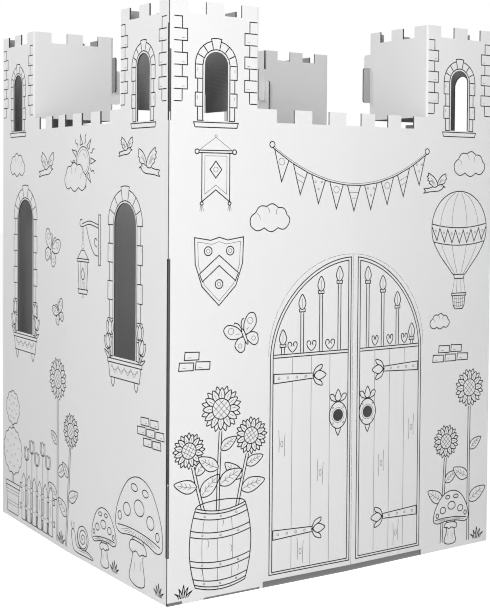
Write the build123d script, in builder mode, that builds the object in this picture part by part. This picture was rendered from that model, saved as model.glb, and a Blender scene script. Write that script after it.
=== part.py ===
"""Cardboard castle to colour in: two folded boards make four walls and four square corner towers.

Millimetres. X runs to the right along the front, Y to the back and Z up. The origin is on the floor,
under the middle of the castle. One board folds round the front right corner, the other is the same
board turned half way round, and the towers' inner panels lock over each other.
"""

import os
from math import degrees, pi
from build123d import *

# Walls and towers, measured over the outside faces
wall_width = 965
wall_depth = 965
wall_height = 1109
tower_rise = 231
tower_side = 230

# The board, its folds, and the crease down each wall that lets a board fold flat for packing
board = 4
fold_radius = 1.5
crease_from_seam = 503
crease_radius = 120
crease_bow = 10
score_radius = 1
seam_gap = 0.3

# Battlements
tower_merlons = 3
tower_gap_depth = 28
wall_merlons = 6
wall_gap_depth = 31

# Windows with half-round heads: a tower's reach below and above the walls' height
tower_window_width = 60
tower_window_drop = 32
tower_window_rise = 122
tower_window_from_corner = 118
side_window_width = 106
side_window_sill = 527
side_window_top = 891
side_windows_from_seam = (202, 792)

# Double doors under one arch, cut through but for short uncut nicks. The leaves meet at the crease of
# the front wall, which is a little to the right of the doorway's middle.
door_from_seam = 496
door_half_width = 234
door_spring = 536
door_cut = 0.8
door_nick = 2.5
nick_pitch = 30
finger_hole_width = 29.5
finger_holes_from_crease = (-42, 48)
finger_hole_level = 383

# Bottom edge of the front and back walls: lengths from the seam, and heights off the floor
corner_lift = 7
corner_lift_end = 37
foot_end = 93
edge_lift = 4
door_lift = 14
door_lift_margin = 12
door_foot = 9

# Tabs where two inner panels of a tower cross: the foot and top of a low one and of a high one, and the
# level where their slots meet, above the panels' undersides
joint_gap = 0.3
tab_reach = 22
low_tab = (47, 139)
high_tab = (80, 175)
lap_level = 109
tab_corner = 7

# Recesses in the two board edges that meet at a seam: one up the walls, as heights off the floor,
# and one in the towers, as reaches below and above the walls' height
front_edge_recess = 4
side_edge_recess = 8
long_recess = (107, 770)
tower_recess_drop = 34
front_recess_rise = 122
side_recess_rise = 179

# Worked out from the sizes above
tower_height = wall_height + tower_rise
tower_window_sill = wall_height - tower_window_drop
tower_window_top = wall_height + tower_window_rise
front_tower_recess = (wall_height - tower_recess_drop, wall_height + front_recess_rise)
side_tower_recess = (wall_height - tower_recess_drop, wall_height + side_recess_rise)
middle_radius = fold_radius + board / 2
inner_panel = tower_side - board - joint_gap
tab_slot = board + 2 * joint_gap
tab_length = joint_gap + board + tab_reach
cut_reach = crease_bow + 2 * board


def bow_at(from_seam, wall_length):
    """How far a wall stands out: most at its crease, nothing at its seam and its fold."""
    fold = wall_length - board / 2
    if from_seam <= crease_from_seam:
        return crease_bow * from_seam / crease_from_seam
    return crease_bow * (fold - from_seam) / (fold - crease_from_seam)


def front_point(from_seam):
    """Middle of the board at a distance along the first wall, in the board's own plan."""
    return (from_seam, board / 2 - bow_at(from_seam, wall_width))


def side_point(from_seam):
    """Middle of the board at a distance along the second wall, from its own seam."""
    out = bow_at(from_seam, wall_depth)
    return (wall_width - board / 2 + out, wall_depth - from_seam)


def battlement_edges(wall_length):
    """First and last edge of each gap between a wall's merlons, as distances from the seam."""
    half = wall_merlons - 0.5
    near = (crease_from_seam - tower_side) / half
    far = (wall_length - tower_side - crease_from_seam) / half
    edges = [tower_side + near * step for step in range(wall_merlons)]
    edges += [wall_length - tower_side - far * step for step in reversed(range(wall_merlons))]
    return [(edges[step], edges[step + 1]) for step in range(1, 2 * wall_merlons - 1, 2)]


def span(first, last, low, high, mode=Mode.ADD):
    """Rectangle between two lengths and two heights."""
    with Locations(((first + last) / 2, (low + high) / 2)):
        Rectangle(last - first, high - low, mode=mode)


def arched_window(centre, sill, top, width):
    """Window outline with a half-round head."""
    span(centre - width / 2, centre + width / 2, sill, top - width / 2)
    with Locations((centre, top - width / 2)):
        Circle(width / 2)


def fold_walls(plan):
    """The two walls of a board up to the low battlements, folded round the corner between them."""
    with BuildSketch(plan) as outline:
        with BuildLine():
            FilletPolyline(
                front_point(0),
                front_point(crease_from_seam),
                (wall_width - board / 2, board / 2),
                side_point(crease_from_seam),
                side_point(board + seam_gap),
                radius=[crease_radius, middle_radius, crease_radius],
            )
        trace(line_width=board)
    extrude(outline.sketch, amount=wall_height)


def fold_towers(plan):
    """The board above the walls: tower faces, and the inner panels that fold back from them."""
    front_far = wall_width - tower_side
    side_far = wall_depth - tower_side
    with BuildSketch(plan.offset(wall_height)) as outline:
        with BuildLine():
            FilletPolyline(
                front_point(0),
                front_point(tower_side - board / 2),
                (tower_side - board / 2, inner_panel),
                radius=middle_radius,
            )
            FilletPolyline(
                (front_far + board / 2, inner_panel),
                front_point(front_far + board / 2),
                (wall_width - board / 2, board / 2),
                side_point(side_far + board / 2),
                (wall_width - inner_panel, tower_side - board / 2),
                radius=middle_radius,
            )
            FilletPolyline(
                side_point(board + seam_gap),
                side_point(tower_side - board / 2),
                (wall_width - inner_panel, side_far + board / 2),
                radius=middle_radius,
            )
        trace(line_width=board)
    extrude(outline.sketch, amount=tower_height - wall_height)


def cut_tower_battlements(plan):
    """Gaps along the top of every tower face and inner panel."""
    step = tower_side / (2 * tower_merlons - 1)
    with BuildSketch(plan.offset(tower_height - tower_gap_depth)) as gaps:
        for gap in range(1, 2 * tower_merlons - 1, 2):
            near = gap * step
            far = near + step
            span(near, far, -cut_reach, wall_depth + cut_reach)
            span(wall_width - far, wall_width - near, -cut_reach, wall_depth + cut_reach)
            span(-cut_reach, wall_width + cut_reach, near, far)
            span(-cut_reach, wall_width + cut_reach, wall_depth - far, wall_depth - near)
    extrude(gaps.sketch, amount=tower_gap_depth, mode=Mode.SUBTRACT)


def cut_wall(wall, wall_length):
    """Low battlements and the windows of the two towers, in one wall seen along its outside plane."""
    with BuildSketch(wall) as openings:
        for first, last in battlement_edges(wall_length):
            span(first, last, wall_height - wall_gap_depth, wall_height)
        for centre in (tower_window_from_corner, wall_length - tower_window_from_corner):
            arched_window(centre, tower_window_sill, tower_window_top, tower_window_width)
    extrude(openings.sketch, amount=cut_reach, both=True, mode=Mode.SUBTRACT)


def add_tab(start, along, ends):
    """Tab past the end of an inner panel. A high tab's slot is open downwards, a low tab's upwards."""
    low, top = ends
    slot_low, slot_top = (low, lap_level + joint_gap) if ends == high_tab else (lap_level, top)
    up = Vector(0, 0, 1)
    with BuildSketch(Plane(origin=start, x_dir=along, z_dir=along.cross(up))) as tab:
        span(0, tab_length, low, top)
        fillet(tab.vertices().group_by(Axis.X)[-1], radius=tab_corner)
        span(0, tab_slot, slot_low, slot_top, mode=Mode.SUBTRACT)
    extrude(tab.sketch, amount=board)


def add_tabs(plan):
    """Low and high tabs take turns along the board, so that one of each crosses in every tower."""
    inward = plan.y_dir
    back_along = plan.x_dir * -1
    for across, ends in ((tower_side - board, low_tab), (wall_width - tower_side, high_tab)):
        start = plan.from_local_coords(Vector(across, inner_panel, wall_height))
        add_tab(start, inward, ends)
    for across, ends in ((tower_side - board, low_tab), (wall_depth - tower_side, high_tab)):
        start = plan.from_local_coords(Vector(wall_width - inner_panel, across, wall_height))
        add_tab(start, back_along, ends)


def score_crease(plan, crease, height):
    """Rounded groove down the inside of a wall, where the board bends."""
    with BuildSketch(plan) as score:
        with Locations(crease):
            Circle(score_radius)
    extrude(score.sketch, amount=height, mode=Mode.SUBTRACT)


def cut_doors(plan, front):
    """Two leaves under one arch, which hinge on scores and meet at the crease, with a finger hole each."""
    left_jamb = door_from_seam - door_half_width
    right_jamb = door_from_seam + door_half_width
    arch_top = door_spring + door_half_width
    arch_cuts = round(pi * door_half_width / nick_pitch)
    nick_angle = degrees(door_nick / door_half_width)
    middle = (crease_from_seam - door_cut / 2, crease_from_seam + door_cut / 2)
    with BuildSketch(front) as cuts:
        with BuildLine():
            for cut in range(arch_cuts):
                first = 180 * cut / arch_cuts + nick_angle / 2
                turn = 180 / arch_cuts - nick_angle
                CenterArc((door_from_seam, door_spring), door_half_width, first, turn)
        trace(line_width=door_cut)
        middle_cuts = round((arch_top - door_lift) / nick_pitch)
        middle_step = (arch_top - door_lift) / middle_cuts
        for cut in range(middle_cuts):
            low = door_lift + cut * middle_step
            span(*middle, low, low + middle_step - door_nick)
        for from_crease in finger_holes_from_crease:
            with Locations((crease_from_seam + from_crease, finger_hole_level)):
                Circle(finger_hole_width / 2)
    extrude(cuts.sketch, amount=cut_reach, both=True, mode=Mode.SUBTRACT)
    for hinge in (left_jamb, right_jamb):
        inside = (hinge, board - bow_at(hinge, wall_width))
        score_crease(plan.offset(door_lift), inside, door_spring - door_lift)


def fold_board(plan, front, side):
    """Everything that the two boards share."""
    fold_walls(plan)
    fold_towers(plan)
    add_tabs(plan)
    cut_tower_battlements(plan)
    cut_wall(front, wall_width)
    cut_wall(side, wall_depth)
    score_crease(plan, (crease_from_seam, board - crease_bow), wall_height)
    side_inside = wall_width - board + crease_bow
    score_crease(plan, (side_inside, wall_depth - crease_from_seam), wall_height)
    with BuildSketch(side) as side_cuts:
        for centre in side_windows_from_seam:
            arched_window(centre, side_window_sill, side_window_top, side_window_width)
        for low, high in (long_recess, side_tower_recess):
            span(0, side_edge_recess, low, high)
    extrude(side_cuts.sketch, amount=cut_reach, both=True, mode=Mode.SUBTRACT)
    with BuildSketch(front) as front_cuts:
        for low, high in (long_recess, front_tower_recess):
            span(-board, front_edge_recess, low, high)
        span(-board, corner_lift_end, 0, corner_lift)
    extrude(front_cuts.sketch, amount=cut_reach, both=True, mode=Mode.SUBTRACT)


def lift_edge(front, first, last, height):
    """Part of a front or back wall's bottom edge that stands clear of the floor."""
    with BuildSketch(front) as lift:
        span(first, last, 0, height)
    extrude(lift.sketch, amount=cut_reach, both=True, mode=Mode.SUBTRACT)


def wall_planes(plan):
    """Upright planes of a board's two walls, with lengths from each wall's seam and heights."""
    far_corner = plan.from_local_coords(Vector(wall_width, wall_depth, 0))
    front = Plane(origin=plan.origin, x_dir=plan.x_dir, z_dir=plan.y_dir * -1)
    side = Plane(origin=far_corner, x_dir=plan.y_dir * -1, z_dir=plan.x_dir * -1)
    return front, side


# Front and right walls, folded round the front right corner
front_plan = Plane(origin=(-wall_width / 2, -wall_depth / 2, 0))
front_wall, right_wall = wall_planes(front_plan)
doorway_start = door_from_seam - door_half_width - door_lift_margin
with BuildPart() as front_right_board:
    fold_board(front_plan, front_wall, right_wall)
    lift_edge(front_wall, foot_end, doorway_start - door_foot, edge_lift)
    lift_edge(front_wall, doorway_start, door_from_seam + door_half_width, door_lift)
    cut_doors(front_plan, front_wall)

# Back and left walls, folded round the back left corner
back_plan = Plane(origin=(wall_width / 2, wall_depth / 2, 0), x_dir=(-1, 0, 0))
back_wall, left_wall = wall_planes(back_plan)
with BuildPart() as left_back_board:
    fold_board(back_plan, back_wall, left_wall)
    lift_edge(back_wall, foot_end, wall_width - foot_end, edge_lift)

os.makedirs("parts", exist_ok=True)
front_right_board.part.label = "front_right_board"
left_back_board.part.label = "left_back_board"
export_step(front_right_board.part, "parts/front_right_board.step")
export_step(left_back_board.part, "parts/left_back_board.step")
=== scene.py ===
"""Colour-in play castle of folded white board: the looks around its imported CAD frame, in metres.

Each folded board carries three finishes: white liner outside, grey liner inside and fluted cut edges.
The line print on each wall is a thin mesh of ink laid on the board.
"""

import cmath
import copy
import math

import bmesh
import bpy
from mathutils import Matrix, Vector
from mathutils.bvhtree import BVHTree
from mathutils.geometry import interpolate_bezier


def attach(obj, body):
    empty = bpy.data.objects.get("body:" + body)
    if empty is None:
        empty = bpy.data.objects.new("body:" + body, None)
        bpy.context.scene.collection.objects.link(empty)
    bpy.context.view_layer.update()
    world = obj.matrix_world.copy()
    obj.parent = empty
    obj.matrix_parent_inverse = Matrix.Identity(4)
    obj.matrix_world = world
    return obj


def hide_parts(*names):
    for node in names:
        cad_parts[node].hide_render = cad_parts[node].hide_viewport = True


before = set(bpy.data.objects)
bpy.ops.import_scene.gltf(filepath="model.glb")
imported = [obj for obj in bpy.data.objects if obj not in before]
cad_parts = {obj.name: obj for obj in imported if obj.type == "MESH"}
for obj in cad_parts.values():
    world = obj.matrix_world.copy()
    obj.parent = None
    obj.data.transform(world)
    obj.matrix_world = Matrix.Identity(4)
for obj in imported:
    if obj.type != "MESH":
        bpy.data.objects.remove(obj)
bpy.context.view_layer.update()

# Camera: a long lens outside the near corner, a little under a metre above the floor.
# It looks level across both near walls, and its shift lifts the castle in the picture.
camera_place = Vector((-1.8129, -2.8717, 0.9314))
camera_yaw, camera_pitch, camera_roll = 0.5972, -0.0270, 0.0076
sensor_side = 36
picture_side = 610
focal_pixels = 1243.16
shift_right, shift_up = 35, 85
furthest_seen = 100
ahead = Vector(
    (
        math.sin(camera_yaw) * math.cos(camera_pitch),
        math.cos(camera_yaw) * math.cos(camera_pitch),
        math.sin(camera_pitch),
    )
)
level_right = Vector((math.cos(camera_yaw), -math.sin(camera_yaw), 0))
level_up = level_right.cross(ahead)
rightward = level_right * math.cos(camera_roll) + level_up * math.sin(camera_roll)
upward = level_up * math.cos(camera_roll) - level_right * math.sin(camera_roll)


def add_object(name, data):
    """A new object of the scene, which holds this data."""
    added = bpy.data.objects.new(name, data)
    bpy.context.scene.collection.objects.link(added)
    return added


camera_data = bpy.data.cameras.new("camera")
camera_data.sensor_width = sensor_side
camera_data.lens = focal_pixels / picture_side * sensor_side
camera_data.shift_x = -shift_right / picture_side
camera_data.shift_y = -shift_up / picture_side
camera_data.clip_end = furthest_seen
camera = add_object("camera", camera_data)
camera_turn = Matrix((rightward, upward, -ahead)).transposed().to_4x4()
camera.matrix_world = Matrix.Translation(camera_place) @ camera_turn
bpy.context.scene.camera = camera

# Studio: a white floor and white surroundings, lit by four soft lamps outside and a faint one inside.
# The camera sees both white, with a faint shadow. Within the walls the floor is painted darker for the
# camera alone, as painted shade, so that the castle is dim inside, and the picture is filtered a little
# less, because the photograph is sharp.
lamp_target = Vector((0, 0, 0.75))
lamp_size = 1.2
lamps = {
    "corner_lamp": {"place": (-2.7, -2.7, 2.2), "watts": 57},
    "front_lamp": {"place": (-0.3, -3.0, 3.0), "watts": 32},
    "left_lamp": {"place": (-2.2, 1.2, 2.4), "watts": 19.5},
    "low_lamp": {"place": (-1.5, -2.5, 0.5), "watts": 8},
    "inside_lamp": {"place": (-0.15, -0.25, 0.2), "watts": 0.45, "size": 0.5, "target": (0.48, 0.25, 0.35)},
}
world_strength = 0.29
floor_white = 0.7
floor_glow = 0.75
# Painted shade of the floor within the walls: its grey and its glow, which only the camera sees.
painted_shade_floor_grey, painted_shade_floor_glow = 0.12, 0.17
castle_reach, bow_slope = 0.4913, 0.0207
floor_side = 40
floor_drop = 0.0005
sharp_filter = 1.1


class Value:
    """A socket of a material's nodes, so that shader maths reads as plain sums."""

    def __init__(self, tree, socket=None):
        self.tree = tree
        self.socket = socket

    def add_node(self, kind, settings=None, inputs=None, output=0):
        """A node of any kind, its settings first, then the values and links of its sockets."""
        node = self.tree.nodes.new(kind)
        for name, setting in (settings or {}).items():
            setattr(node, name, setting)
        self.connect(node, inputs or {})
        return Value(self.tree, node.outputs[output] if node.outputs else None)

    def connect(self, node, inputs):
        for name, value in inputs.items():
            if isinstance(value, Value):
                self.tree.links.new(value.socket, node.inputs[name])
            else:
                node.inputs[name].default_value = value

    def math(self, operation, first, second=0, clamp=False):
        settings = {"operation": operation, "use_clamp": clamp}
        return self.add_node("ShaderNodeMath", settings, {0: first, 1: second})

    def axis(self, number):
        """One number of the point that this value gives: 0 is its first and 1 its second."""
        return self.add_node("ShaderNodeSeparateXYZ", inputs={0: self}, output=number)

    def __add__(self, other):
        return self.math("ADD", self, other)

    __radd__ = __add__

    def __sub__(self, other):
        return self.math("SUBTRACT", self, other)

    def __rsub__(self, other):
        return self.math("SUBTRACT", other, self)

    def __mul__(self, other):
        return self.math("MULTIPLY", self, other)

    __rmul__ = __mul__

    def __truediv__(self, other):
        return self.math("DIVIDE", self, other)

    def __abs__(self):
        return self.math("ABSOLUTE", self)

    def sine(self):
        return self.math("SINE", self)

    def clamped(self):
        return self.math("ADD", self, clamp=True)

    def noise(self, scale, detail):
        """Even noise from 0 to 1 at points that this value gives, with scale per metre."""
        inputs = {"Vector": self, "Scale": scale, "Detail": detail}
        return self.add_node("ShaderNodeTexNoise", inputs=inputs)

    def blend(self, low_colour, high_colour):
        """Colour from one to another as this value goes from 0 to 1."""
        inputs = {0: self, 6: low_colour, 7: high_colour}
        return self.add_node("ShaderNodeMix", {"data_type": "RGBA"}, inputs, output=2)


def grey(level):
    return (level, level, level, 1)


def empty_nodes(holder):
    """The nodes of a world or of a material, with the default ones taken out."""
    holder.use_nodes = True
    holder.node_tree.nodes.clear()
    return Value(holder.node_tree)


def mesh_object(name, bm, *finishes):
    """A finished bmesh as an object with its materials."""
    mesh = bpy.data.meshes.new(name)
    bm.to_mesh(mesh)
    bm.free()
    for finish in finishes:
        mesh.materials.append(finish)
    return add_object(name, mesh)


for lamp_name, lamp in lamps.items():
    light = bpy.data.lights.new(lamp_name, "AREA")
    light.shape = "DISK"
    light.size = lamp.get("size", lamp_size)
    light.energy = lamp["watts"]
    lamp_place = Vector(lamp["place"])
    turn = (Vector(lamp.get("target", lamp_target)) - lamp_place).to_track_quat("-Z", "Y")
    lamp_object = add_object(lamp_name, light)
    lamp_object.matrix_world = Matrix.Translation(lamp_place) @ turn.to_matrix().to_4x4()
    lamp_object.visible_camera = False

world = bpy.data.worlds.new("studio")
bpy.context.scene.world = world
around = empty_nodes(world)
camera_ray, glossy_ray, glass_ray = (
    around.add_node("ShaderNodeLightPath", output=ray)
    for ray in ("Is Camera Ray", "Is Glossy Ray", "Is Transmission Ray")
)
seen = (camera_ray + glossy_ray + glass_ray).clamped()
fill = around.add_node("ShaderNodeBackground", inputs={"Color": grey(1), "Strength": world_strength})
white = around.add_node("ShaderNodeBackground", inputs={"Color": grey(1), "Strength": 1.0})
surroundings = around.add_node("ShaderNodeMixShader", inputs={0: seen, 1: fill, 2: white})
around.add_node("ShaderNodeOutputWorld", inputs={"Surface": surroundings})

floor_material = bpy.data.materials.new("white_floor")
paint = empty_nodes(floor_material)
floor_seen = paint.add_node("ShaderNodeLightPath", output="Is Camera Ray")
spot = paint.add_node("ShaderNodeTexCoord", output="Object")
across, back = abs(spot.axis(0)), abs(spot.axis(1))
wall_reach = castle_reach - bow_slope * paint.math("MINIMUM", across, back)
outside = paint.math("GREATER_THAN", paint.math("MAXIMUM", across, back), wall_reach)
# Painted shade: within the walls the camera sees a darker floor and a weaker glow, standing in for the
# shade inside the castle.
floor_colour_and_painted_shade = (floor_seen * (1 - outside)).blend(grey(floor_white), grey(painted_shade_floor_grey))
matt = paint.add_node("ShaderNodeBsdfDiffuse", inputs={"Color": floor_colour_and_painted_shade})
glow_strength = floor_seen * (painted_shade_floor_glow + outside * (floor_glow - painted_shade_floor_glow))
glow = paint.add_node("ShaderNodeEmission", inputs={"Color": grey(1), "Strength": glow_strength})
lit_floor = paint.add_node("ShaderNodeAddShader", inputs={0: matt, 1: glow})
paint.add_node("ShaderNodeOutputMaterial", inputs={"Surface": lit_floor})
bm = bmesh.new()
bmesh.ops.create_grid(bm, x_segments=1, y_segments=1, size=floor_side / 2)
studio_floor = mesh_object("studio_floor", bm, floor_material)
studio_floor.location = (0, 0, -floor_drop)
bpy.context.scene.view_settings.view_transform = "Standard"
bpy.context.scene.cycles.filter_width = sharp_filter

# The two folded boards: single-wall corrugated board of 4 mm with upright flutes, die cut and creased.
# A matt white liner covers the outside, a recycled grey liner the inside, and every cut edge shows
# the wavy paper between the two liners, with painted shade in the open flutes between its waves. Each
# copy is merged, then sorted face by face into these three.
board_thickness = 0.004
thinnest, thickest = 0.0026, 0.0048
ray_start, ray_reach = 1e-5, 0.02
steepest_sheet = 0.3
same_point = 1e-6
half_side = 0.4825
wall_zone = 0.462
panel_near, panel_far = 0.24, 0.265
next_wall = 1.0
crease_from_seam, crease_half_width = 0.503, 0.005
flute_pitch = 0.0072
white_liner_grey, white_spread = 0.86, 0.025
inner_liner_grey, inner_spread = 0.38, 0.06
wave_middle, wave_height = 0.5, 0.33


def start_material(name):
    """A new material with its Principled shader and its Object coordinates."""
    material = bpy.data.materials.new(name)
    material.use_nodes = True
    shader = material.node_tree.nodes["Principled BSDF"]
    place = Value(material.node_tree).add_node("ShaderNodeTexCoord", output="Object")
    return material, shader, place


def sheet_place(place):
    """The sheet UV map: length along the board, and on a cut edge the depth in it."""
    return place.add_node("ShaderNodeUVMap", {"uv_map": "sheet"})


def flute_wave(along):
    """The flutes' wave along the board, from -1 to 1."""
    return (along * (2 * math.pi / flute_pitch)).sine()


def wandering(tone, level, spread):
    """Grey that wanders as a tone does, by a spread to each side of its level."""
    return tone.blend(grey(level - spread), grey(level + spread))


def dress(shader, colour, roughness, relief, strength, height):
    """Lead a colour, a roughness and a relief, its height in metres, to a shader."""
    inputs = {"Height": relief, "Strength": strength, "Distance": height}
    bump = relief.add_node("ShaderNodeBump", inputs=inputs)
    relief.connect(shader, {"Base Color": colour, "Roughness": roughness, "Normal": bump})


white_liner, shader, place = start_material("white_liner")
along = sheet_place(place).axis(0)
clouding = place.noise(3, 3)
fibres = place.noise(900, 4)
tone = (0.72 * clouding + 0.28 * fibres).clamped()
crease_dent = (1 - abs(along - crease_from_seam) / crease_half_width).clamped()
relief = 0.35 * flute_wave(along) + 0.5 * place.noise(160, 3) + 0.25 * fibres - 1.6 * crease_dent
white_grey = wandering(tone, white_liner_grey, white_spread)
dress(shader, white_grey, 0.58 + 0.16 * fibres, relief, 0.55, 0.00022)

inner_liner, shader, place = start_material("inner_liner")
flecks = place.noise(1400, 5)
mottle = place.noise(11, 4)
tone = (0.55 * mottle + 0.45 * flecks).clamped()
inner_grey = wandering(tone, inner_liner_grey, inner_spread)
relief = 0.6 * flute_wave(sheet_place(place).axis(0)) + 0.5 * flecks
dress(shader, inner_grey, 0.74 + 0.14 * flecks, relief, 0.7, 0.00028)

cut_edge, shader, place = start_material("cut_edge")
sheet_uv = sheet_place(place)
depth = sheet_uv.axis(1)
from_wave = abs(depth - (wave_middle + wave_height * flute_wave(sheet_uv.axis(0))))
paper_wave = (1.9 - from_wave * 14).clamped()
liner_line = ((abs(depth - wave_middle) - 0.40) * 30).clamped()
torn = place.noise(700, 4)
# Painted shade: the open flutes between the paper waves are painted near black, as the shade inside them;
# the wave paper keeps its own grey.
wave_on_painted_hollow_shade = paper_wave.blend(grey(0.025), grey(0.2))
liner_grey = (0.75 + 0.5 * torn).clamped().blend(grey(0.08), grey(0.32))
edge_grey = liner_line.blend(wave_on_painted_hollow_shade, liner_grey)
relief = paper_wave + 1.2 * liner_line + 0.6 * torn
dress(shader, edge_grey, 0.8 + 0.1 * torn, relief, 0.9, 0.0005)

PRINT_SIDE, INNER_SIDE, CUT_EDGE = 0, 1, 2


def facing_out(point, normal):
    """Whether a face of the sheet is its white outside: outwards on a wall, inwards on a tower's panel."""
    across, back = abs(point.x), abs(point.y)
    sideways = normal.x * math.copysign(1, point.x)
    endways = normal.y * math.copysign(1, point.y)
    if across > wall_zone and back > wall_zone:
        return sideways + endways > 0
    if back > wall_zone:
        return endways > (sideways if panel_near < across < panel_far else 0)
    if across > wall_zone:
        return sideways > (endways if panel_near < back < panel_far else 0)
    return (sideways if abs(normal.x) > abs(normal.y) else endways) < 0


def along_sheet(point, normal):
    """Length from the seam of the wall that a face belongs to, or along its panel."""
    if abs(point.y) > wall_zone or (abs(point.x) <= wall_zone and abs(normal.y) > abs(normal.x)):
        return half_side - point.x if point.y > 0 else half_side + point.x
    return half_side - point.y if point.x > 0 else half_side + point.y


for board_name in ("front_right_board", "left_back_board"):
    bm = bmesh.new()
    bm.from_mesh(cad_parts[board_name].data)
    bmesh.ops.remove_doubles(bm, verts=bm.verts, dist=same_point)
    bm.normal_update()
    shell = BVHTree.FromBMesh(bm)
    print_faces = []
    for face in bm.faces:
        centre = face.calc_center_median()
        through = shell.ray_cast(centre - face.normal * ray_start, -face.normal, ray_reach)[3] or 0
        if not thinnest < through < thickest or abs(face.normal.z) >= steepest_sheet:
            face.material_index = CUT_EDGE
        elif facing_out(centre, face.normal):
            face.material_index = PRINT_SIDE
            print_faces.append(face)
        else:
            face.material_index = INNER_SIDE
        face.smooth = False
    corners = [[corner.co.copy() for corner in face.verts] for face in print_faces]
    outside = BVHTree.FromPolygons(
        [corner for polygon in corners for corner in polygon],
        [tuple(range(3 * n, 3 * n + 3)) for n in range(len(corners))],
    )
    for layer in list(bm.loops.layers.uv):
        bm.loops.layers.uv.remove(layer)
    sheet = bm.loops.layers.uv.new("sheet")
    for face in bm.faces:
        along = along_sheet(face.calc_center_median(), face.normal)
        for loop in face.loops:
            point = loop.vert.co
            here = along_sheet(point, face.normal)
            if abs(here - along) > next_wall:
                here = along
            if face.material_index == CUT_EDGE:
                depth = outside.find_nearest(point)[3] / board_thickness
                loop[sheet].uv = (here, min(depth, 1.0))
            else:
                loop[sheet].uv = (here, point.z)
    folded_sheet = mesh_object(board_name.replace("board", "sheet"), bm, white_liner, inner_liner, cut_edge)
    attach(folded_sheet, "root")
    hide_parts(board_name)

# The line print: dark ink laid on the white outside of each wall, to be coloured in.
# Each wall's drawing is laid out flat, as strokes in millimetres from the wall's seam and from the floor,
# and is then pressed onto the bowed wall as a thin mesh of ink.
BOLD, FINE = 2.4, 1.0
sample_step = 5
edge_halvings = 5


def rounded(points, closed):
    """Points along one smooth line through these, as a pen would draw it."""
    count = len(points)
    line = []
    spans = count if closed else count - 1
    for n in range(spans):
        first, last = points[n], points[(n + 1) % count]
        before = points[n - 1] if closed or n else first
        after = points[(n + 2) % count] if closed or n + 2 < count else last
        steps = max(2, math.ceil(abs(last - first) / sample_step))
        knots = [first, first + (last - before) / 6, last - (after - first) / 6, last]
        bend = interpolate_bezier(*[Vector((knot.real, knot.imag)) for knot in knots], steps + 1)
        line += [complex(*point) for point in bend[:-1]]
    return line if closed else line + [points[-1]]


def straight(points, closed):
    """The same points with more between them on long runs, so that a cover can end a line anywhere."""
    line = []
    ends = points[1:] + points[:1] if closed else points[1:]
    for first, last in zip(points, ends):
        steps = max(1, math.ceil(abs(last - first) / sample_step))
        line += [first + (last - first) * step / steps for step in range(steps)]
    return line if closed else line + [points[-1]]


def within(point, cover):
    """Whether a point lies inside a closed outline, by counting the sides that pass to its right."""
    low, high, outline = cover
    if not (low.real < point.real < high.real and low.imag < point.imag < high.imag):
        return False
    hidden = False
    for a, b in zip(outline, outline[1:] + outline[:1]):
        if (a.imag > point.imag) != (b.imag > point.imag):
            if point.real < a.real + (point.imag - a.imag) * (b.real - a.real) / (b.imag - a.imag):
                hidden = not hidden
    return hidden


class Drawing:
    """A flat line drawing. What stands in front is drawn first and covers what is drawn after it."""

    def __init__(self):
        self.strokes = []
        self.covers = []
        self.pen = BOLD
        self.origin, self.factor, self.mirrored = 0j, 1 + 0j, False

    @property
    def fine(self):
        """The same drawing with the fine pen."""
        thin = copy.copy(self)
        thin.pen = FINE
        return thin

    def at(self, along, up, size=1, turn=0, mirrored=False):
        """The same drawing with its origin, size and turn moved for one motif."""
        moved = copy.copy(self)
        moved.origin = self.on_wall((along, up))
        factor = size * cmath.exp(1j * math.radians(turn))
        moved.factor = self.factor * (factor.conjugate() if self.mirrored else factor)
        moved.mirrored = self.mirrored != mirrored
        return moved

    def on_wall(self, point):
        spot = complex(*point)
        return self.origin + self.factor * (spot.conjugate() * -1 if self.mirrored else spot)

    def hidden(self, point):
        return any(within(point, cover) for cover in self.covers)

    def stroke(self, points, closed=False, smooth=True, hides=False):
        """One line of the pen. Where it goes behind a cover it stops."""
        spots = [self.on_wall(point) for point in points]
        outline = rounded(spots, closed) if smooth else straight(spots, closed)
        line, behind = outline, [self.hidden(spot) for spot in outline]
        if not any(behind):
            self.strokes.append((line, self.pen, closed))
        else:
            if closed:
                start = behind.index(True)
                line = line[start:] + line[: start + 1]
                behind = behind[start:] + behind[: start + 1]
            piece = []
            for n, spot in enumerate(line):
                if n and behind[n] != behind[n - 1]:
                    seen, unseen = (line[n - 1], spot) if behind[n] else (spot, line[n - 1])
                    for _ in range(edge_halvings):
                        middle = (seen + unseen) / 2
                        if self.hidden(middle):
                            unseen = middle
                        else:
                            seen = middle
                    piece.append(seen)
                    if behind[n]:
                        self.keep(piece)
                        piece = []
                if not behind[n]:
                    piece.append(spot)
            self.keep(piece)
        if hides:
            low = complex(min(s.real for s in outline), min(s.imag for s in outline))
            high = complex(max(s.real for s in outline), max(s.imag for s in outline))
            self.covers.append((low, high, outline if smooth else spots))

    def keep(self, piece):
        """Keep a piece of a line unless it is shorter than the pen is wide."""
        if len(piece) > 1 and sum(abs(b - a) for a, b in zip(piece, piece[1:])) > self.pen:
            self.strokes.append((piece, self.pen, False))

    def line(self, *points):
        self.stroke(points, smooth=False)

    def curve(self, *points):
        self.stroke(points)

    def shape(self, *points):
        """A closed smooth outline that covers what is drawn after it."""
        self.stroke(points, closed=True, hides=True)

    def panel(self, *points):
        """A closed outline with straight sides that covers what is drawn after it."""
        self.stroke(points, closed=True, smooth=False, hides=True)

    def slab(self, first_half, first, last_half, last):
        """A panel between two levels, each after half of its width there."""
        self.panel((-first_half, first), (first_half, first), (last_half, last), (-last_half, last))

    def loop(self, *points):
        """A closed outline with straight sides that covers nothing."""
        self.stroke(points, closed=True, smooth=False)

    def ring(self, centre, wide, high=None, covers=False):
        self.stroke(oval(centre, wide, high)[:-1], closed=True, hides=covers)

    def dots(self, *centres, radius=2.2):
        for centre in centres:
            self.fine.ring(centre, radius)


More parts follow.
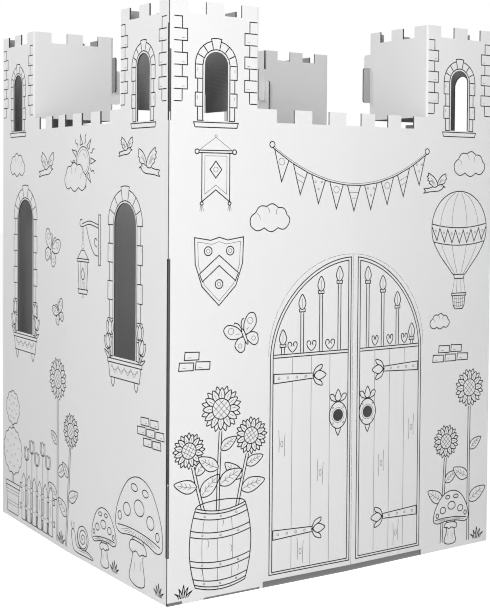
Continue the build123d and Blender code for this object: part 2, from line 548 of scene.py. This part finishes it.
def oval(centre, wide, high=None, first=0, last=360, steps=None):
    """Points round an oval, from one angle to another in degrees."""
    high = wide if high is None else high
    steps = steps or max(6, round(abs(last - first) / 24))
    angles = [math.radians(first + (last - first) * n / steps) for n in range(steps + 1)]
    return [(centre[0] + wide * math.cos(a), centre[1] + high * math.sin(a)) for a in angles]


# Stonework print: wedge stones and long and short jamb stones round each window, corner stones up the
# towers, and loose stones in the plaster. It is line work only, and the board under it is flat.
def other_side(points):
    """Half an outline mirrored and taken backwards, so that it closes the outline."""
    return [(-x, y) for x, y in reversed(points)]


def window_stones(wall, centre, sill, top, width, depth, courses):
    """Stone surround of a window with a half-round head: wedge stones over long and short jamb stones."""
    window = wall.at(centre, 0)
    inner = width / 2 + 5
    outer = inner + depth
    spring = top - width / 2
    height = (spring - sill) / courses
    stones = 7
    reaches = [outer if course % 2 else outer - depth * 0.32 for course in range(courses)]
    joints = [oval((0, spring), reach, last=180, steps=stones)[1:-1] for reach in (inner, outer)]
    for ends in zip(*joints):
        window.line(*ends)
    for side in (-1, 1):
        for course, reach in enumerate(reaches):
            level = sill + (course + 1) * height
            window.line((side * inner, level), (side * reach, level))
            if course % 2:
                tick = side * (reach - 6)
                window.fine.line((tick, level - 7), (tick, level - 16))
    window.line((inner, sill), *oval((0, spring), inner, last=180), (-inner, sill))
    profile = []
    for course, reach in enumerate(reaches):
        profile += [(reach, sill + course * height), (reach, sill + (course + 1) * height)]
    first_key, last_key = 180 * (stones // 2) / stones, 180 * (stones // 2 + 1) / stones
    crown = oval((0, spring), outer, last=first_key)
    crown += oval((0, spring), outer + depth * 0.3, first=first_key, last=last_key)
    crown += oval((0, spring), outer, first=last_key, last=180)
    window.panel(*profile, *crown, *other_side(profile))


def corner_stones(corner):
    """Long and short stones up the corner of a tower, which the corner itself closes."""
    low, high, count = 1118, 1304, 7
    short, long = 23, 36
    height = (high - low) / count
    profile = []
    for stone in range(count):
        bottom, top = low + stone * height, low + (stone + 1) * height
        reach = long if stone % 2 else short
        profile += [(reach, bottom), (reach, top)]
        corner.line((2, bottom), (short, bottom))
        if stone % 2:
            corner.fine.line((reach - 6, bottom + 6), (reach - 14, bottom + 6))
    corner.line(*profile, (2, high))


def loose_stones(wall, courses=((0, 2), (-14, 3), (12, 2))):
    """A few stones that show through the plaster, with the shift and the number of each course."""
    height, length = 19, 38
    for course, (shift, count) in enumerate(courses):
        for stone in range(count):
            spot = wall.at(shift + stone * (length + 4), course * (height + 4))
            spot.loop((0, 1), (length - 1, 0), (length, height - 2), (2, height))
            spot.fine.line((8, 6), (18, 6))


# Sky print: clouds, a sun, doves, butterflies and a balloon, in bold outlines with fine lines inside.
# Each is drawn round a spot of the wall, its nearest parts first, because they cover the rest.
def scalloped(anchors, bulge=0.24):
    """Outline of round bumps between anchors that run anticlockwise, as of a cloud or a clipped bush."""
    points = []
    for a, b in zip(anchors, anchors[1:] + anchors[:1]):
        a, b = complex(*a), complex(*b)
        for step in range(8):
            along = step / 8
            spot = a + (b - a) * along - 1j * (b - a) * bulge * math.sin(math.pi * along)
            points.append((spot.real, spot.imag))
    return points


def cloud(spot):
    spot.fine.curve((-43, 14), (-34, 7), (-31, -4))
    spot.fine.curve((-10, 31), (-2, 24), (0, 14))
    spot.fine.curve((28, 28), (22, 20), (24, 9))
    anchors = [(-62, -22), (-18, -27), (28, -27), (64, -18), (58, 10), (28, 30), (-10, 33), (-46, 16)]
    spot.panel(*scalloped(anchors))


def sun(spot):
    spot.fine.ring((0, 0), 27)
    spot.fine.curve((-14, 6), (-8, 14), (2, 18))
    spot.ring((0, 0), 34, covers=True)
    for ray in range(14):
        arm = spot.at(0, 0, turn=360 * ray / 14)
        if ray % 2:
            arm.panel((40, -7), (64, 0), (40, 7))
        else:
            arm.curve((41, -2), (49, 3), (57, -3), (66, 2))


def bird(spot):
    """Dove on the wing, its near wing over its back."""
    spot.dots((25, 8), radius=1.3)
    for n in (0, 1, 2):
        spot.fine.curve((-6 - n * 4, 13), (-14 - n * 5, 25), (-26 - n * 5, 37 - n * 7))
    wing = [(6, 8), (2, 24), (-12, 40), (-38, 54), (-37, 46), (-45, 42), (-38, 35), (-43, 29)]
    spot.shape(*wing, (-33, 24), (-34, 17), (-24, 12), (-12, 3))
    spot.line((33, 9), (42, 4), (32, 3))
    body = [(34, 6), (29, 13), (20, 14), (8, 9), (-12, 6), (-34, 0), (-60, -3), (-52, -10), (-60, -18)]
    spot.shape(*body, (-34, -14), (-10, -12), (12, -10), (28, -3))
    for n in (0, 1):
        spot.fine.curve((14, 14 + n * 2), (20 + n * 5, 26), (30 + n * 6, 36 - n * 5))
    wing = [(6, 8), (10, 26), (26, 44), (46, 52), (46, 42), (50, 34), (42, 28), (42, 20)]
    spot.shape(*wing, (30, 14), (20, 8))


def butterfly(spot):
    spot.shape((0, 20), (4, 10), (3, -18), (0, -24), (-3, -18), (-4, 10))
    for side in (False, True):
        wing = spot.at(0, 0, mirrored=side)
        wing.fine.ring((31, 28), 8)
        wing.fine.curve((9, 9), (16, 13), (22, 14))
        wing.shape((3, 4), (12, 30), (34, 46), (50, 38), (44, 14), (22, 2))
        wing.fine.ring((22, -18), 5.5)
        wing.shape((3, -2), (22, 0), (36, -12), (30, -32), (16, -34), (5, -16))
        wing.curve((1, 20), (4, 34), (12, 42), (16, 40))


def balloon(spot):
    """Hot-air balloon with a zigzag band and a basket."""
    for row in range(3):
        spot.at(0, row * 9).fine.curve((-17, -74), (0, -77), (17, -74))
    for reed in range(-2, 3):
        spot.fine.line((reed * 6.5, -79), (reed * 6.5, -50))
    spot.panel((-24, -44), (-24, -50), (24, -50), (24, -44))
    spot.panel((-21, -50), (-18, -76), (-12, -83), (12, -83), (18, -76), (21, -50))
    spot.panel((-18, 2), (-15, -8), (15, -8), (18, 2))
    for foot, hand in ((-22, -15), (-8, -6), (8, 6), (22, 15)):
        spot.fine.line((foot, -44), (hand, -8))
    low_band, high_band, belly, crown = 84, 128, 116, 208

    def half_width(height):
        if height > belly:
            return 92 * math.sqrt(max(0, 1 - ((height - belly) / (crown - belly)) ** 2))
        return 15 + 77 * math.sin(math.pi / 2 * height / belly)

    def across(height, share):
        return (share * half_width(height), height - half_width(height) / 9 * (1 - share * share))

    teeth = 14
    for tooth in range(1, teeth, 2):
        spot.dots(across(high_band - 15, -1 + 2 * tooth / teeth), radius=2.4)
    levels = [low_band + 6 if n % 2 else high_band - 6 for n in range(teeth + 1)]
    spot.line(*[across(level, -1 + 2 * n / teeth) for n, level in enumerate(levels)])
    for level in (low_band, high_band):
        spot.curve(*[across(level, n / 4) for n in range(-4, 5)])
    for gore in (-0.7, -0.28, 0.28, 0.7):
        for first, last in ((2, low_band), (high_band, crown - 2)):
            heights = [first + (last - first) * n / 6 for n in range(7)]
            spot.fine.curve(*[across(height, gore) for height in heights])
    sides = [across(height, 1) for height in (0, 24, 50, 80, 104, 130, 152, 172, 188, 200, 206)]
    spot.shape(*sides, (0, crown), *other_side(sides))


# Hangings print: bunting, pennons, shields, lanterns and the flower boxes on the side windows. They are
# drawn as if they hung on the walls by rings, rods, brackets and corbels.
def part_way(start, end, share):
    """The point that lies a share of the way from one point to another."""
    return tuple(a + (b - a) * share for a, b in zip(start, end))


def bunting(wall, first, last, sag, count):
    """Pennants on a cord between two rings."""
    drop = 62

    def cord(share, lift=0):
        x, y = part_way(first, last, share)
        return (x, y - sag * (1 - (2 * share - 1) ** 2) + lift)

    for x, y in (first, last):
        wall.ring((x, y + 6), 7, covers=True)
        wall.fine.ring((x, y + 6), 3)
    for flag in range(count):
        left, right = cord((flag + 0.12) / count), cord((flag + 0.88) / count)
        x, y = part_way(left, right, 0.5)
        tip, centre = (x, y - drop), wall.at(x, y - drop / 3)
        if flag % 3 == 0:
            centre.fine.ring((0, 5), 8)
        elif flag % 3 == 1:
            for share in (0.28, 0.5):
                wall.fine.line(part_way(left, tip, share), part_way(right, tip, share))
        else:
            centre.dots((-9, 10), (9, 10), (0, -7))
        wall.panel(left, tip, right)
    wall.curve(*[cord(step / 16) for step in range(17)])
    wall.fine.curve(*[cord(step / 16, 5) for step in range(17)])


def pennon(spot):
    """Swallow-tailed hanging on a rod, from a nail above."""
    spot.slab(46, 3, 46, -3)
    for side in (-1, 1):
        spot.ring((side * 51, 0), 5.5, covers=True)
        spot.fine.line((side * 44, 4), (0, 34))
    spot.dots((0, 37), radius=3)
    spot.fine.ring((0, -42), 6)
    spot.panel((0, -22), (16, -42), (0, -62), (-16, -42))
    spot.fine.loop((-30, -10), (30, -10), (30, -100), (0, -79), (-30, -100))
    spot.panel((-38, -3), (38, -3), (38, -118), (0, -90), (-38, -118))
    for x in (-38, 38):
        tassel = spot.at(x, -122)
        tassel.ring((0, 0), 4, covers=True)
        for root, tip, low in ((-2, -5, -18), (0, 0, -20), (2, 5, -18)):
            tassel.fine.line((root, -4), (tip, low))


def shield(spot):
    outline = [(-58, 62), (-20, 56), (0, 62), (20, 56), (58, 62), (56, 8), (40, -38), (0, -78)]
    outline += [(-40, -38), (-56, 8)]
    spot.panel((-46, -12), (0, 25), (46, -12), (39, -28), (0, 4), (-39, -28))
    for x, y in ((-26, 34), (26, 34), (0, -34)):
        spot.ring((x, y), 9)
        spot.fine.ring((x, y), 4)
    spot.fine.loop(*[(0.87 * x, 0.87 * y - 1) for x, y in outline])
    spot.panel(*outline)


def lantern(spot):
    """Lantern on a scrolled bracket."""
    spot.slab(4, 44, 4, -46)
    spot.dots((0, 34), (0, -36), radius=1.6)
    spot.curve((4, 26), (40, 32), (70, 26))
    spot.curve((4, 20), (40, 26), (68, 21), (78, 24), (76, 34), (68, 33))
    spot.curve((4, -30), (22, -26), (40, -4), (52, 21))
    spot.curve((10, -14), (18, -10), (20, -2), (14, 2), (10, -3))
    for link in range(3):
        spot.fine.ring((66, 14 - link * 8), 2.6, 4.4)
    lamp = spot.at(66, -14)
    lamp.fine.ring((0, 0), 5)
    lamp.slab(6, -8, 22, -24)
    lamp.slab(24, -24, 24, -29)
    lamp.curve((0, -40), (7, -50), (4, -60), (0, -62), (-5, -59), (-6, -51), (0, -40))
    lamp.fine.line((0, -62), (0, -68))
    lamp.fine.slab(3, -68, 4, -80)
    for side in (-1, 1):
        lamp.fine.line((side * 10, -29), (side * 8, -80))
    lamp.loop((-20, -29), (20, -29), (16, -80), (-16, -80))
    lamp.slab(20, -80, 16, -88)
    lamp.dots((0, -92), radius=3)


def tulip(spot, height, leaves=(1, -1)):
    head = spot.at(0, height)
    head.shape((0, -18), (9, -8), (8, 6), (0, 18), (-8, 6), (-9, -8))
    for turned in (False, True):
        head.at(0, 0, mirrored=turned).shape((0, -19), (14, -14), (17, 2), (14, 15), (6, 8), (4, -6))
    for edge, bend, foot in ((-1.8, -3, -2), (1.8, 1, 2)):
        spot.fine.curve((edge, height - 19), (bend, height / 2), (foot, 0))
    for side in leaves:
        blade = min(height * 0.62, 76) * (1.0 if side > 0 else 0.78)
        spot.shape((side * 2, 0), (side * 12, blade * 0.3), (side * 22, blade), (side * 5, blade * 0.5))


def flower_box(spot, width):
    """Flower box on two corbels, under a window."""
    half = width / 2
    swags = 4
    pitch = (width - 34) / swags
    for swag in range(swags + 1):
        hook = spot.at(17 - half + pitch * swag, -18)
        hook.fine.ring((0, 0), 2.6)
        if swag < swags:
            for dip in (8, 14):
                hook.fine.curve((3, -1), (pitch / 2, -dip), (pitch - 3, -1))
    spot.slab(half + 5, 0, half + 5, -9)
    spot.slab(half, -9, half - 7, -44)
    for side in (-1, 1):
        spot.at(side * (half - 22), 0).panel((-9, -44), (9, -44), (7, -58), (0, -66), (-7, -58))
        for x, height, lean in ((half - 8, 44, 16), (half - 12, 76, 4)):
            tulip(spot.at(side * x, -2, turn=-side * lean), height, (side,))


# Garden print: barrels, sunflowers, toadstools, a snail, a picket fence, clipped bushes and grass. They
# stand along the foot of the walls, on a ground that isn't drawn.
def barrel(spot):
    tall = 160

    def side(height):
        return 58 + 14 * (1 - (2 * height / tall - 1) ** 2)

    def round_front(level):
        return [(share / 5 * side(level), level - 11 * (1 - (share / 5) ** 2)) for share in range(-5, 6)]

    for low in (6, 44, 104, 142):
        for rivet in (2, 5, 8):
            spot.dots(round_front(low + 6)[rivet], radius=1.8)
        spot.panel(*round_front(low), *reversed(round_front(low + 12)))
    for stave in (-0.6, -0.1, 0.4):
        heights = [tall * step / 8 for step in range(9)]
        spot.fine.curve(*[(stave * side(h), h - 11 * (1 - stave * stave)) for h in heights])
    for x, y in ((-30, 84), (24, 68), (4, 124), (40, 28), (-44, 28)):
        spot.fine.curve((x, y - 8), (x + 3, y), (x, y + 9))
    heights = [tall * step / 12 for step in range(13)]
    right_side = [(side(h), h) for h in heights]
    spot.panel(*round_front(0), *right_side, *reversed(round_front(tall)), *other_side(right_side))


def leaf(spot):
    spot.fine.curve((2, 0), (20, 2), (44, 1))
    for x in (12, 22, 32):
        for tip in (7, -6):
            spot.fine.curve((x, 1), (x + 7, tip))
    spot.shape((0, 0), (12, 13), (30, 13), (52, 0), (30, -11), (12, -11))


def sunflower(spot, height, size):
    head = spot.at(0, height, size)
    disk = 23.5
    for turned in (45, -45):
        for row in (-10, 0, 10):
            half = math.sqrt(disk**2 - row**2)
            head.at(0, 0, turn=turned).fine.line((-half, row), (half, row))
    head.ring((0, 0), disk, covers=True)
    petals, half = 12, 7.5
    for layer, reach in enumerate((48, 52)):
        for n in range(petals):
            petal = head.at(0, 0, turn=360 * (n + layer / 2) / petals)
            if not layer:
                petal.fine.curve((26, 0), (reach - 10, 1))
            petal.shape((22, -half * 0.7), (34, -half), (reach, 0), (34, half), (22, half * 0.7))
    for side, share, length, turn in ((3, 0.26, 62, 28), (-3, 0.42, 56, 152), (3, 0.6, 46, 34)):
        leaf(spot.at(side, share * height, length / 50, turn))
    stem = height - 50 * size
    for edge, bend in ((-3.5, -4.5), (3.5, 2.5)):
        spot.curve((edge, stem), (bend, stem / 2), (edge, 0))


def planted_barrel(wall, along, size, *stems):
    """A barrel of sunflowers, each given as its length along the wall, height, size and turn."""
    spot = wall.at(along, 30, size)
    barrel(spot)
    for foot, height, head_size, turn in stems:
        sunflower(wall.at(foot, 196, turn=turn), height, head_size)
    spot.curve(*oval((0, 160), 58, 11, last=180))


def toadstool(spot):
    dapples = [(0, 106, 14, 11), (-32, 94, 10, 9), (34, 96, 10, 9), (-16, 130, 8, 5), (15, 131, 9, 5)]
    for x, y, wide, high in (*dapples, (-52, 80, 5, 6), (54, 82, 5, 6)):
        spot.ring((x, y), wide, high)
    for gill in range(-5, 6):
        spot.fine.line((gill * 5.5, 70), (gill * 10, 63))
    spot.curve((-60, 68), (-30, 72), (0, 73), (30, 72), (60, 68))
    dome = [(-66, 68), (-60, 100), (-34, 136), (0, 148), (34, 136), (60, 100), (66, 68)]
    spot.shape(*dome, (52, 58), (26, 62), (0, 64), (-26, 62), (-52, 58))
    spot.shape((-24, 46), (-17, 58), (17, 58), (24, 46), (14, 41), (5, 45), (-5, 41), (-14, 45))
    spot.fine.curve((-8, 34), (-9, 20))
    spot.fine.curve((7, 30), (9, 14))
    spot.shape((-14, 62), (-15, 34), (-22, 8), (-16, 0), (0, -3), (16, 0), (22, 8), (15, 34), (14, 62))


def snail(spot):
    shell = spot.at(-6, 46)
    radius, steps, turns = 34, 32, 2.4
    spiral = []
    for n in range(steps + 1):
        angle = 2 * math.pi * turns * n / steps - 0.6 * math.pi
        reach = 3 + (radius - 3) * n / steps
        spiral.append((reach * math.cos(angle), reach * math.sin(angle)))
    shell.curve(*spiral)
    shell.ring((0, 0), radius, covers=True)
    spot.fine.curve((-58, 3), (-40, 7), (-20, 8), (16, 6))
    foot = [(-70, 0), (-42, 12), (-10, 14), (24, 14), (38, 28), (44, 52), (56, 60), (66, 50), (62, 26)]
    spot.shape(*foot, (52, 4), (30, -2), (-20, -2))
    spot.curve((50, 58), (50, 74))
    spot.curve((60, 57), (66, 72))
    spot.dots((50, 77), (67, 75), radius=3)


def grass(spot):
    """A tuft of five blades."""
    for foot, tip, height in ((0, 2, 34), (-5, -12, 26), (5, 15, 27), (-9, -24, 15), (10, 27, 16)):
        spot.curve((foot - 3, 0), (foot - 2 + (tip - foot) * 0.3, height * 0.55), (tip, height))
        spot.curve((tip, height), (foot + 3 + (tip - foot) * 0.3, height * 0.5), (foot + 3, 0))


def fence(wall, first, last):
    """Picket fence: pointed pales on two rails."""
    height, pitch, half, overhang = 128, 40, 13, 26
    ground = wall.at(0, 14)
    count = round((last - first) / pitch)
    step = (last - first) / count
    for n in range(count + 1):
        pale = ground.at(first + n * step, 0)
        for level in (0.28, 0.72):
            pale.dots((-5, height * level), (5, height * level), radius=1.2)
        pale.fine.curve((3, height * 0.38), (1, height * 0.5), (3, height * 0.62))
        pale.panel((-half, 0), (half, 0), (half, height - 16), (0, height), (-half, height - 16))
    rails = ground.at((first + last) / 2, 0)
    for level in (0.22, 0.66):
        reach = (last - first) / 2 + overhang
        rails.slab(reach, height * level, reach, height * level + half)


def tulip_row(wall, *stems):
    """Tulips behind a fence, each given as its length along the wall and its height."""
    for foot, height in stems:
        tulip(wall.at(foot, 14), height)


def clipped_bush(spot):
    """Two clipped balls on a stem in a banded tub."""
    for y in (22, 52):
        for level in (y, y + 8):
            spot.fine.line((-40 - y * 0.12, level), (40 + y * 0.12, level))
    spot.slab(50, 82, 50, 70)
    spot.slab(46, 70, 38, 0)
    for centre, radius, bumps in ((168, 62, 13), (284, 44, 10)):
        for ring, count in ((0.3, 4), (0.68, 8)):
            first = 360 * ring / count
            for place in oval((0, centre), radius * ring, first=first, last=first + 360, steps=count)[:-1]:
                spot.at(*place).fine.curve((-6, -2), (0, 4), (6, -2))
        anchors = oval((0, centre), radius, radius * 0.94, steps=bumps)[:-1]
        spot.panel(*scalloped(anchors))
    for low, high in ((82, 112), (226, 246)):
        for x in (-5, 5):
            spot.line((x, low), (x, high))


# Door print: a double line round each leaf, a rail, planks, strap hinges, a spear grille in the arch
# head, and a plate round each finger hole. It is printed a little off the cut line, as on the real board.
door_middle = 503
door_spring = 529
door_head = 234
arch_power = 1.88
double_line = 7.4
finger_hole_level = 383
rail_level = 536
foot_level = 26


def door_leaf(wall, side, jamb, stile, finger_hole):
    """Everything printed on one leaf. Lengths run from the middle towards the hinge."""
    door = wall.at(door_middle, 0, mirrored=side < 0)

    def arch(reach, inset):
        share = max(0, 1 - (reach / (jamb - inset)) ** arch_power)
        return door_spring + (door_head - inset) * share ** (1 / arch_power)

    plate = wall.at(door_middle + side * finger_hole, finger_hole_level)
    plate.fine.ring((0, 0), 18, covers=True)
    plate.dots(*oval((0, 0), 22, 27, first=45, last=315, steps=3), radius=1.9)
    plate.ring((0, 0), 25.5, 32, covers=True)
    crest = plate.at(0, 32)
    crest.shape((0, 2), (9, 10), (0, 30), (-9, 10))
    for turned in (False, True):
        crest.at(0, 0, mirrored=turned).shape((4, 1), (20, 6), (24, 18), (15, 19), (9, 10))
    plate.shape((-7, -32), (7, -32), (4, -42), (0, -49), (-4, -42))
    for level in (118, 484):
        root, tip = jamb - 10, jamb - 132
        door.dots(*[(root - 14 - 25 * rivet, level) for rivet in range(4)], radius=2.6)
        bud = door.at(tip, level)
        bud.shape((8, 0), (-6, 11), (-26, 0), (-6, -11))
        for turn in (1, -1):
            bud.shape((12, 0), (4, turn * 18), (-14, turn * 25), (-12, turn * 15), (2, turn * 8))
        door.panel((root, level + 11), (tip + 10, level + 6), (tip + 10, level - 6), (root, level - 11))
    inner_jamb, inner_stile = jamb - double_line, stile + double_line
    for lift in (3.5, -3.5):
        door.line((inner_stile, rail_level + lift), (inner_jamb, rail_level + lift))
    for inset in (double_line, 0):
        across = jamb - stile - 2 * inset
        reaches = [stile + inset + across * math.sin(math.pi / 2 * n / 24) for n in range(25)]
        foot_edge = foot_level + inset * 0.76
        outline = [(x, arch(x, inset)) for x in reaches]
        door.loop(*outline, (jamb - inset, foot_edge), (stile + inset, foot_edge))
    bars = 4
    gap = (inner_jamb - inner_stile) / bars
    scroll = ((0, 3), (0.6, 9), (1, 18), (0.9, 26), (0.4, 27), (0.15, 21), (0.4, 17))
    for bar in range(bars):
        x = inner_stile + gap * (bar + 0.5)
        top = arch(x + 11, double_line) - 7
        root = rail_level + 4
        spear = door.at(x, top)
        spear.fine.line((0, -8), (0, -32))
        spear.shape((0, 0), (10, -20), (4, -34), (-4, -34), (-10, -20))
        spear.slab(8, -34, 8, -41)
        for edge in (-4, 4):
            if top - 41 > root:
                door.line((x + edge, top - 41), (x + edge, root))
        if bar < bars - 1:
            for turn in (1, -1):
                wide = turn * (gap / 2 - 14)
                door.curve(*[(x + gap / 2 + wide * share, root + rise) for share, rise in scroll])
    planks = 4
    for plank in range(1, planks):
        x = inner_stile + (inner_jamb - inner_stile) * plank / planks
        door.fine.line((x, foot_level + 8), (x, rail_level - 4))
    for share, level in ((0.37, 250), (0.63, 70), (0.88, 330)):
        knot = door.at(inner_stile + (inner_jamb - inner_stile) * share, level)
        knot.fine.ring((0, 0), 3, 7)
        knot.fine.curve((-8, -30), (-7, 0), (-9, 24))
        knot.fine.curve((8, -20), (7, 4), (9, 34))


# Openings and towers: two small windows in each wall's towers and two tall ones in a side wall, each
# given as its centre, sill, top and width. They come first on a wall, so that no line runs out over them.
tower_windows = ((118, 1077, 1231, 60), (847, 1077, 1231, 60))
side_windows = ((202, 527, 891, 106), (792, 527, 891, 106))
window_margin = 2


def start_wall(first_edge, windows=()):
    """A wall's drawing with its openings left blank, and the stonework of its towers and windows."""
    wall = Drawing()
    for centre, sill, top, width in (*tower_windows, *windows):
        jamb = width / 2 + window_margin
        low, high = sill - window_margin, top + window_margin
        head = oval((centre, top - width / 2), jamb, last=180)
        outline = [complex(x, y) for x, y in (*head, (centre - jamb, low), (centre + jamb, low))]
        wall.covers.append((complex(centre - jamb, low), complex(centre + jamb, high), outline))
    for window, low_edge, high_edge in zip(tower_windows, (first_edge, 737), (228, 959)):
        window_stones(wall, *window, 19, 4)
        wall.at(window[0], 0).slab(58, 1073, 54, 1062)
        corner_stones(wall.at(low_edge, 0))
        corner_stones(wall.at(high_edge, 0, mirrored=True))
    for centre, sill, top, width in windows:
        flower_box(wall.at(centre, sill - 6), width + 52)
        window_stones(wall, centre, sill, top, width, 26, 7)
    return wall


# Front wall's drawing: doors, bunting over them, a shield, a balloon, a planted barrel and sunflowers.
# Each place is a length from the wall's seam and a level, then a size and a turn. Nearer things come first.
front = start_wall(8)
door_leaf(front, -1, 236, 6, 42)
door_leaf(front, 1, 220, 15, 48)
bunting(front, (268, 1022), (738, 1016), 84, 9)
pennon(front.at(118, 1008, 0.95))
shield(front.at(128, 748, 1.1))
cloud(front.at(262, 858, 0.82))
butterfly(front.at(196, 590, 0.9, 24))
grass(front.at(40, 12, 0.9))
planted_barrel(front, 136, 1.12, (128, 232, 1.0, -2), (92, 150, 0.78, 15), (178, 168, 0.82, -13))
balloon(front.at(852, 706, 1.04))
cloud(front.at(884, 992, 0.82))
cloud(front.at(786, 590, 0.5))
bird(front.at(770, 930, 0.7))
grass(front.at(924, 12, 0.9))
toadstool(front.at(830, 14, 0.92, -3))
sunflower(front.at(894, 12), 400, 0.95)
sunflower(front.at(800, 18, turn=-3), 262, 0.82)
loose_stones(front.at(26, 520), ((0, 2), (14, 1)))
loose_stones(front.at(764, 486), ((0, 3), (20, 2)))

# Left wall's drawing: stone windows with flower boxes, a sun, doves, a lantern, and a garden below. It is
# printed on the left and back board, from the seam at the near corner to the fold.
left = start_wall(11, side_windows)
cloud(left.at(462, 950, 0.92))
sun(left.at(420, 990, 1.05))
bird(left.at(96, 968, 0.9))
bird(left.at(196, 1010, 0.62, mirrored=True))
bird(left.at(640, 968, 0.9, mirrored=True))
lantern(left.at(330, 800, 1.35))
butterfly(left.at(610, 760, 1.0, 20))
butterfly(left.at(560, 600, 0.7, -24))
cloud(left.at(850, 984, 0.8))
grass(left.at(36, 12, 0.9))
grass(left.at(246, 12, 0.9))
toadstool(left.at(138, 14, 1.68, 3))
toadstool(left.at(296, 14, 0.95, -5))
snail(left.at(420, 14, 0.88))
sunflower(left.at(510, 12, turn=5), 300, 0.85)
grass(left.at(540, 12))
fence(left, 610, 800)
sunflower(left.at(566, 12), 420, 1.05)
tulip_row(left, (630, 190), (666, 218), (706, 184), (742, 210), (780, 186))
clipped_bush(left.at(882, 14, 1.04))
loose_stones(left.at(30, 340))

# Right wall's drawing: the same windows, a balloon between them, and another planting. It is printed on
# the front and right board, from the seam at the far corner to the fold.
right = start_wall(11, side_windows)
balloon(right.at(420, 770, 1.05))
cloud(right.at(600, 962, 0.95))
cloud(right.at(640, 690, 0.62))
bird(right.at(378, 590, 0.8))
bird(right.at(150, 984, 0.85, mirrored=True))
sun(right.at(866, 986, 0.8))
grass(right.at(36, 12, 0.9))
planted_barrel(right, 140, 1.15, (132, 206, 0.95, 3), (100, 140, 0.75, 14), (176, 150, 0.8, -13))
fence(right, 280, 470)
tulip_row(right, (296, 214), (334, 184), (374, 208), (414, 190), (450, 216))
toadstool(right.at(574, 14, 1.1, -4))
toadstool(right.at(650, 14, 0.7, 5))
snail(right.at(750, 14, 0.8, mirrored=True))
clipped_bush(right.at(858, 14))
grass(right.at(926, 12, 0.9))

# Back wall's drawing: a shield between pennons, bunting and a fence, on a wall with no windows below its
# towers. It is printed on the left and back board, from the seam at the far corner to the fold.
back = start_wall(8)
bunting(back, (268, 1020), (700, 1020), 70, 8)
shield(back.at(484, 720, 1.7))
pennon(back.at(290, 800, 1.15))
pennon(back.at(680, 800, 1.15))
cloud(back.at(134, 950, 0.9))
cloud(back.at(850, 900, 0.95))
bird(back.at(812, 990, 0.8))
loose_stones(back.at(60, 620))
loose_stones(back.at(800, 640), ((0, 3), (20, 2)))
loose_stones(back.at(420, 440))
grass(back.at(60, 12))
clipped_bush(back.at(156, 14, 1.1))
fence(back, 300, 660)
tulip_row(back, (320, 190), (360, 222), (420, 186), (480, 214), (540, 190), (600, 218))
toadstool(back.at(782, 14, 1.25, -3))
toadstool(back.at(888, 14, 0.8, 5))
grass(back.at(716, 12, 1.1))

# Ink: dark print about a tenth of a millimetre high. Each drawing becomes flat strokes, which are bent
# at the crease and laid on their wall's white liner with their lower edge sunk in it.
crease_bow, fold_from_seam = 10, 963
crease_cuts = (500, 503, 506)
ink_dark, ink_pale = 0.008, 0.022
ink_half_width = 0.0005
ink_sunk, ink_edge, ink_top = -0.00005, 0.00006, 0.00013
tapered = 0.6
millimetres = 1000
walls = {
    "front_print": (front, (-half_side, -half_side), (1, 0), (0, -1)),
    "left_print": (left, (-half_side, -half_side), (0, 1), (-1, 0)),
    "back_print": (back, (half_side, half_side), (-1, 0), (0, 1)),
    "right_print": (right, (half_side, half_side), (0, -1), (1, 0)),
}
ink, shader, place = start_material("print_ink")
ink_grain = place.noise(1100, 3)
ink_grey = ink_grain.blend(grey(ink_dark), grey(ink_pale))
place.connect(
    shader, {"Base Color": ink_grey, "Roughness": 0.6 + 0.2 * ink_grain, "Specular IOR Level": 0.2}
)


def bow(along):
    """How far a wall stands out at a length from its seam, in millimetres."""
    if along <= crease_cuts[1]:
        return crease_bow * along / crease_cuts[1]
    return crease_bow * (fold_from_seam - along) / (fold_from_seam - crease_cuts[1])


for print_name, (drawing, corner, way, outward) in walls.items():
    pen_lines = bpy.data.curves.new(print_name, "CURVE")
    pen_lines.dimensions = "2D"
    pen_lines.fill_mode = "NONE"
    pen_lines.bevel_depth = ink_half_width
    pen_lines.bevel_resolution = 0
    pen_lines.use_fill_caps = True
    for line, pen, closed in drawing.strokes:
        spline = pen_lines.splines.new("POLY")
        spline.points.add(len(line) - 1)
        for n, (point, spot) in enumerate(zip(spline.points, line)):
            point.co = (spot.real / millimetres, spot.imag / millimetres, 0, 1)
            point.radius = pen * (tapered if not closed and n in (0, len(line) - 1) else 1)
        spline.use_cyclic_u = closed
    pen_object = add_object(print_name + "_lines", pen_lines)
    seen_lines = pen_object.evaluated_get(bpy.context.evaluated_depsgraph_get())
    flat = bpy.data.meshes.new_from_object(seen_lines)
    bpy.data.objects.remove(pen_object)
    bm = bmesh.new()
    bm.from_mesh(flat)
    for cut in crease_cuts:
        strokes = bm.verts[:] + bm.edges[:] + bm.faces[:]
        bmesh.ops.bisect_plane(bm, geom=strokes, plane_co=(cut / millimetres, 0, 0), plane_no=(1, 0, 0))
    for vertex in bm.verts:
        along, level, over = vertex.co
        rise = ink_edge if abs(over) < same_point else (ink_top if over > 0 else ink_sunk)
        out = bow(along * millimetres) / millimetres + rise
        x, y = (start + step * along + lift * out for start, step, lift in zip(corner, way, outward))
        vertex.co = (x, y, level)
    bmesh.ops.recalc_face_normals(bm, faces=bm.faces)
    ink_object = mesh_object(print_name, bm, ink)
    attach(ink_object, "root")
